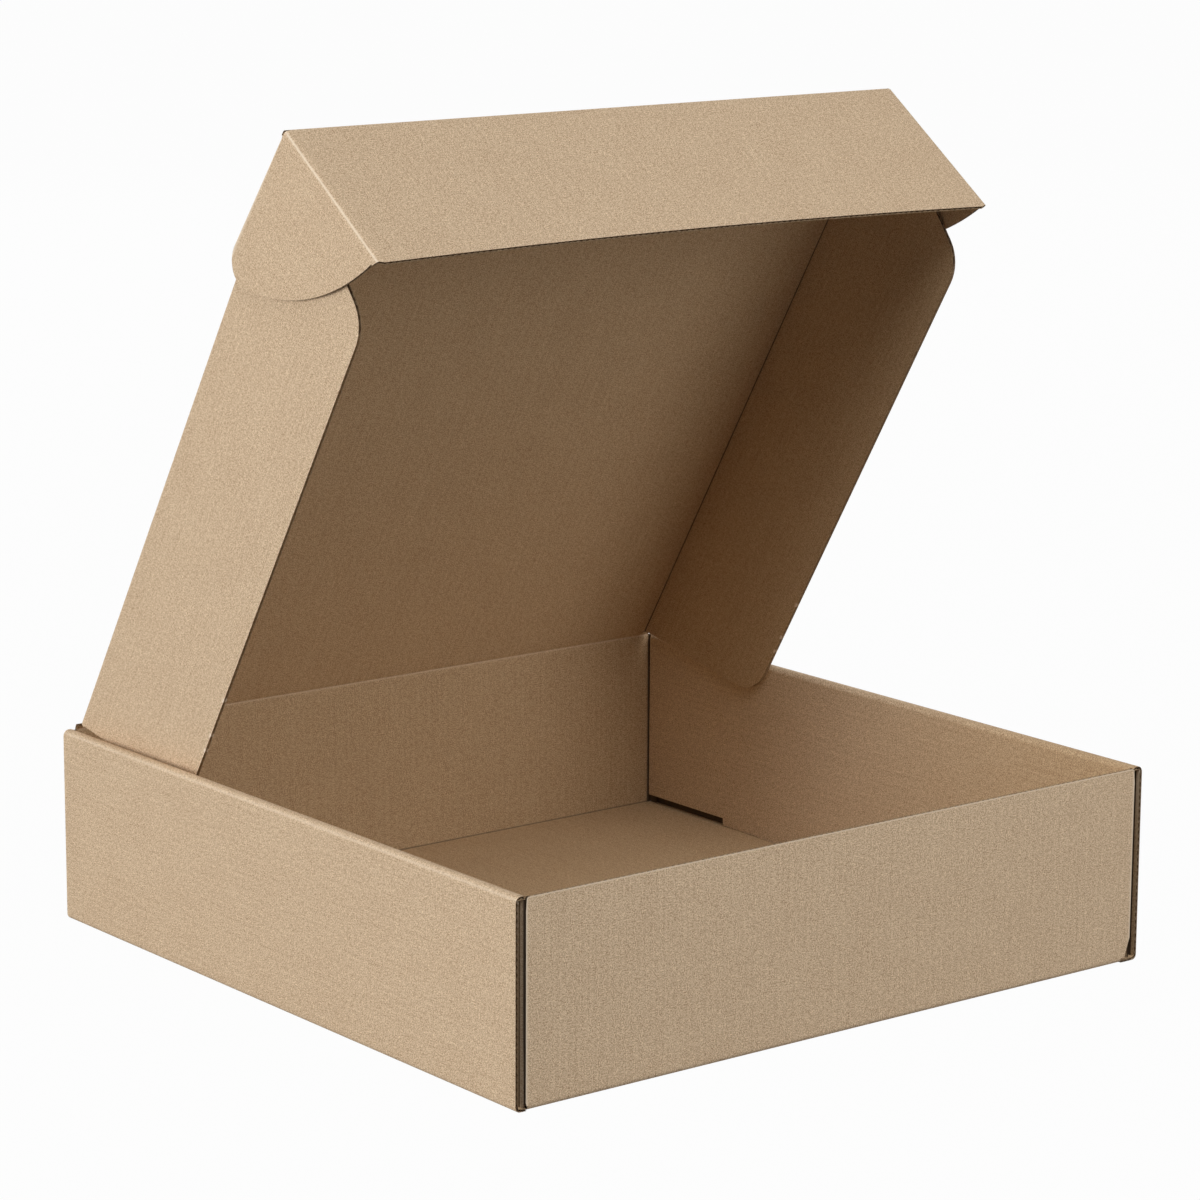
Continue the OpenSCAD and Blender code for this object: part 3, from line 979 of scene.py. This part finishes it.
def side_flap(side, name):
    outline = side_outline()
    depth = SIDE_DEPTH

    def lean(u, v):
        share = max(0.0, (-v - CREASE) / depth)
        return -SIDE_LEAN * share * share

    out = ACROSS * side
    place = on_panel(hinge + out * FLAP_X, lid_along, lid_out, out, lean)
    if side > 0:
        outline = outline[::-1]

    def wear(u, v, w):
        near = min(abs(u - nick) for nick in NICKS)
        return 1.0 if near < NICK_TORN * NICK_HALF and v < EDGE_WEAR_AND_HIGHLIGHT - depth else 0.0

    sheet = Sheet(wear)
    cuts_u = grid(0, LID_LENGTH, STEP) + [nick + k * NICK_HALF for nick in NICKS for k in NICK_CUTS]
    cuts_v = grid(-depth, -CREASE, FLAP_STEP) + [EDGE_WEAR_AND_HIGHLIGHT - depth - NEAR_CUT, 2 * EDGE_WEAR_AND_HIGHLIGHT - depth]
    sheet.board(outline, place, 1, sorted(cuts_u), sorted(cuts_v))
    return sheet.finish(name, "flap_board", name, [name])


side_flap(-1, "left_side_flap")
side_flap(1, "right_side_flap")


def tuck():
    depth = HINGE_H - TUCK_FLOOR_GAP - BOARD
    edge = EAR_X - CREASE
    bow_r = EAR_X ** 2 / (2 * TUCK_BOW) + TUCK_BOW / 2
    turn = math.degrees(math.asin(edge / bow_r))
    lower = arc((0, -depth + TUCK_BOW - bow_r), bow_r, 90 - turn, 90 + turn, 24)
    outline = [(-edge, -CREASE), *lower[::-1], (edge, -CREASE)]
    place = on_panel(tuck_axis, ACROSS, tuck_up, tuck_out)
    sheet = Sheet()
    sheet.board(outline, place, 0, grid(-edge, edge, STEP), grid(-depth, -CREASE, STEP))
    return sheet.finish("tuck_flap_panel", "tuck_board", "tuck_flap", ["tuck_flap"])


tuck()


def ear_outline():
    """Ear: distance behind the tuck flap's inner face, and height from the lid's inner face."""
    depth = HINGE_H - TUCK_FLOOR_GAP - EAR_FOOT
    foot = np.array([0.0, BOARD - depth])
    tip = np.array([EAR_REACH - BOARD - EAR_TIP_R, BOARD - EAR_TOP_FAR - EAR_TIP_R])
    span = np.linalg.norm(tip - foot)
    near_r, far_r = EAR_CURVE_R, EAR_CURVE_R - EAR_TIP_R
    along = (near_r ** 2 - far_r ** 2 + span ** 2) / (2 * span)
    step = (tip - foot) / span
    centre = foot + along * step + math.sqrt(near_r ** 2 - along ** 2) * np.array([-step[1], step[0]])
    start = -90 + math.degrees(math.asin((CREASE - centre[0]) / near_r))
    end = math.degrees(math.atan2(tip[1] - centre[1], tip[0] - centre[0]))
    lower = arc(centre, near_r, start, end, 20)
    return lower + arc(tip, EAR_TIP_R, end, 90, 10)[1:] + [(CREASE, BOARD - EAR_TOP_NEAR)]


def ear(side, name):
    outline = ear_outline()
    out = ACROSS * side
    place = on_panel(tuck_axis + out * EAR_X, -tuck_out, tuck_up, out)
    if side > 0:
        outline = outline[::-1]

    pale_line_v = BOARD - EAR_TOP_NEAR - NEAR_CUT

    # A pale line along the ear's top edge
    def wear(u, v, w):
        return 1.0 if v > pale_line_v else 0.0

    sheet = Sheet(wear)
    rows = grid(-EAR_H, 0, EAR_STEP) + [BOARD - EAR_TOP_NEAR - EAR_PALE_LINE]
    sheet.board(outline, place, 0, grid(0, EAR_REACH, EAR_STEP), rows)
    return sheet.finish(name, "ear_board", name, [name])


ear(-1, "left_ear")
ear(1, "right_ear")


# Creases between jointed panels


def crease(name, slot, bodies, origin, towards_parent, towards_child, run, low, high, across, ends=(0, 0),
           shade=1.0, reach=0.0):
    """The fold between two panels.

    Its middle line bends round the hinge axis, which is at the inner faces' corner, and it runs
    from low to high along the run direction. Beside the child panel it is shorter by the two
    ends, and the half beside the parent panel may reach further. Shade darkens its inner side.
    """
    parent, child = towards_parent.normalized(), towards_child.normalized()
    outward = -(parent + child).normalized()
    out_parent = (outward - parent * outward.dot(parent)).normalized()
    out_child = (outward - child * outward.dot(child)).normalized()
    fan = out_parent.angle(out_child)
    first = parent * CREASE + out_parent * HALF
    line = [first]
    turn_axis = out_parent.cross(out_child).normalized()
    for i in range(CREASE_STEPS + 1):
        line.append(Matrix.Rotation(fan * i / CREASE_STEPS, 3, turn_axis) @ (out_parent * HALF))
    line.append(child * CREASE + out_child * HALF)
    drawn = [(p.dot(parent), p.dot(out_parent)) for p in line]
    path = Path(drawn, [(drawn[1 + CREASE_STEPS // 2], FOLD_DENT, CREASE_CRUSH)])
    length = float(path.s[-1])
    flip = 1 if path.at(0.0, HALF)[1] > drawn[0][1] else -1

    def place(u, v, w):
        a, b = path.at(u, w * flip)
        return origin + parent * a + out_parent * b + run * v

    # A pale line along the fold's outer side, and painted shade along its inner side; a shade below nought
    # paints a pale line there instead
    def wear(u, v, w):
        away = (u - length / 2) / CREASE_LINE
        return math.exp(-(away ** 2)) if w > 0 else -shade * math.exp(-((away / 2) ** 2))

    outline = [(0, low - reach), (length, low + ends[0]), (length, high - ends[1]), (0, high + reach)]
    if reach:
        outline[1:1] = [(length / 2, low - reach), (length / 2, low)]
        outline[-1:-1] = [(length / 2, high), (length / 2, high + reach)]
    if parent.cross(out_parent).dot(run) * flip > 0:
        outline = outline[::-1]
    sheet = Sheet(wear)
    sheet.board(outline, place, across, sorted(path.cuts()), grid(low, high, STEP))
    start = origin + line[1] + parent * CREASE * BEND_FROM
    end = origin + line[-2] + child * CREASE * BEND_FROM
    return sheet.finish(name, slot, (*bodies, start, end))


crease("lid_crease", "lid_board", ("tray", "lid"), hinge, -UP, lid_along, ACROSS, -CREASE_X, CREASE_X, 1,
       shade=LID_CREASE_SHADE)
crease("tuck_crease", "tuck_board", ("lid", "tuck_flap"), tuck_axis, -lid_along, -tuck_up, ACROSS,
       CREASE - EAR_X, EAR_X - CREASE, 1, reach=CREASE + HALF)
for side, side_name in ((-1, "left"), (1, "right")):
    out = ACROSS * side
    crease(f"{side_name}_side_crease", "flap_board", ("lid", f"{side_name}_side_flap"), hinge + out * FLAP_X,
           -out, -lid_out, lid_along, CREASE + GAP / 3, LID_LENGTH + BOARD - SIDE_FRONT, 0,
           (SIDE_BACK - BOARD - CREASE, 0))
    crease(f"{side_name}_ear_crease", "ear_board", ("tuck_flap", f"{side_name}_ear"), tuck_axis + out * EAR_X,
           -out, -tuck_out, tuck_up, BOARD - HINGE_H + TUCK_FLOOR_GAP, -GAP / 2, 0, (EAR_FOOT, 0))


# Stage


# The floor's half width, its own tone, and the share of white that the camera sees in it
FLOOR_HALF = 30
FLOOR_TONE = 0.3
FLOOR_WHITE = 0.975

# Soft lights: the point in the box that they aim at, their distance from it and their width
LIGHT_AIM = Vector((0, 0, 0.15))
LIGHT_DISTANCE = 3.0
LIGHT_SIZE = 1.6


def towards(azimuth, elevation):
    """Direction from the box, with azimuth 0 in front of it and angles in degrees."""
    az, el = math.radians(azimuth), math.radians(elevation)
    return Vector((math.sin(az) * math.cos(el), -math.cos(az) * math.cos(el), math.sin(el)))


def camera():
    """The camera that took the photo, turned and shifted as fitted to the tray and the lid."""
    az, roll = math.radians(AZIMUTH), math.radians(ROLL)
    back = towards(AZIMUTH, ELEVATION)
    right = Vector((math.cos(az), math.sin(az), 0))
    up = back.cross(right)
    turned_right = right * math.cos(roll) + up * math.sin(roll)
    turned_up = up * math.cos(roll) - right * math.sin(roll)
    data = bpy.data.cameras.new("camera")
    data.sensor_width = SENSOR_MM
    data.lens = FOCAL_PX / IMAGE * SENSOR_MM
    data.clip_end = 100
    obj = bpy.data.objects.new("camera", data)
    rows = Matrix((turned_right, turned_up, back)).transposed()
    place = turned_right * -SHIFT_X + turned_up * -SHIFT_Y + back * DISTANCE
    obj.matrix_world = Matrix.Translation(place) @ rows.to_4x4()
    bpy.context.scene.collection.objects.link(obj)
    bpy.context.scene.camera = obj


camera()


def floor():
    """A wide pale floor that the camera sees as white, with the object's soft shadow kept."""
    mesh = bpy.data.meshes.new("floor")
    far = FLOOR_HALF
    corners = [(-far, -far, 0), (far, -far, 0), (far, far, 0), (-far, far, 0)]
    mesh.from_pydata(corners, [], [(0, 1, 2, 3)])
    obj = bpy.data.objects.new("floor", mesh)
    bpy.context.scene.collection.objects.link(obj)
    material = bpy.data.materials.new("floor")
    material.use_nodes = True
    tree = material.node_tree
    tree.nodes.remove(tree.nodes["Principled BSDF"])
    n = Nodes(tree)
    pale = n.new("ShaderNodeBsdfDiffuse", {"Color": (FLOOR_TONE, FLOOR_TONE, FLOOR_TONE, 1)})
    white = n.new("ShaderNodeEmission", {"Color": (1, 1, 1, 1), "Strength": 1.0})
    share = n.math("MULTIPLY", n.seen(), FLOOR_WHITE)
    mixed = n.new("ShaderNodeMixShader", {0: share, 1: pale.outputs[0], 2: white.outputs[0]})
    tree.links.new(mixed.outputs[0], tree.nodes["Material Output"].inputs["Surface"])
    mesh.materials.append(material)


floor()


def world():
    """White behind the box for the camera, and no light from it."""
    data = bpy.data.worlds.new("world")
    bpy.context.scene.world = data
    data.use_nodes = True
    tree = data.node_tree
    background = tree.nodes["Background"]
    background.inputs["Color"].default_value = (1, 1, 1, 1)
    tree.links.new(Nodes(tree).seen(), background.inputs["Strength"])


world()


def softbox(name, azimuth, elevation, strength):
    """A square soft light. Its energy grows with the distance, so that the strength alone sets its effect."""
    way = towards(azimuth, elevation)
    data = bpy.data.lights.new(name, "AREA")
    data.shape = "SQUARE"
    data.size = LIGHT_SIZE
    data.energy = strength * (math.pi * LIGHT_DISTANCE) ** 2
    obj = bpy.data.objects.new(name, data)
    obj.location = LIGHT_AIM + way * LIGHT_DISTANCE
    obj.rotation_euler = way.to_track_quat("Z", "Y").to_euler()
    bpy.context.scene.collection.objects.link(obj)


softbox("key", -100, 10, 0.69)
softbox("side", -65, 40, 0.08)
softbox("top", -20, 55, 0.35)
softbox("front", 20, 10, 0.25)
softbox("right", 20, 40, 0.19)
softbox("back", 150, 25, 0.3)

bpy.context.scene.view_settings.view_transform = "Standard"
